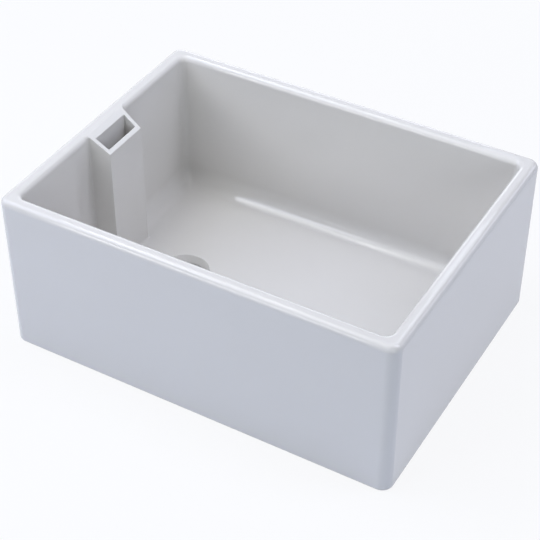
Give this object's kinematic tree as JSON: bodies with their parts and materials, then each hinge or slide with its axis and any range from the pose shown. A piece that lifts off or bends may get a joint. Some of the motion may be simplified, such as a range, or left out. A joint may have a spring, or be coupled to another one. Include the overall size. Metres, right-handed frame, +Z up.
{
  "type": "belfast sink",
  "caption": "Rectangular glazed fireclay kitchen sink with thick walls, a weir overflow column at one end, and a slotted waste with a lift-out plug and pull ring.",
  "frame": {"origin": "centre of the underside, on the plane that the sink stands on", "axes": "+X along the length, away from the overflow; +Y to the back; +Z up"},
  "size_m": [0.595, 0.447, 0.295],
  "materials": {
    "glazed_fireclay": "gloss",
    "chromed_brass": "polished",
    "plain_brass": "satin",
    "black_rubber": "matte",
    "white_rubber": "matte",
    "pale_plastic": "satin"
  },
  "bodies": {
    "sink": {"sink_body": "glazed_fireclay", "waste_body": "chromed_brass", "flange_seal": "white_rubber", "base_seal": "black_rubber", "slip_washer": "pale_plastic", "back_nut": "plain_brass"},
    "plug": {"plug_body": "chromed_brass", "plug_seal": "black_rubber", "plug_eye": "chromed_brass", "eye_washer": "plain_brass", "eye_nut": "plain_brass"},
    "ring": {"pull_ring": "chromed_brass"}
  },
  "joints": [
    {"name": "plug_lift", "type": "slide", "parent": "sink", "child": "plug", "axis": [0, 0, 1], "range_m": [0, 0.28]},
    {"name": "ring_fold", "type": "hinge", "parent": "plug", "child": "ring", "pos_m": [-0.152, 0, 0.0202], "axis": [0, -1, 0], "range_deg": [0, 201.4]}
  ]
}
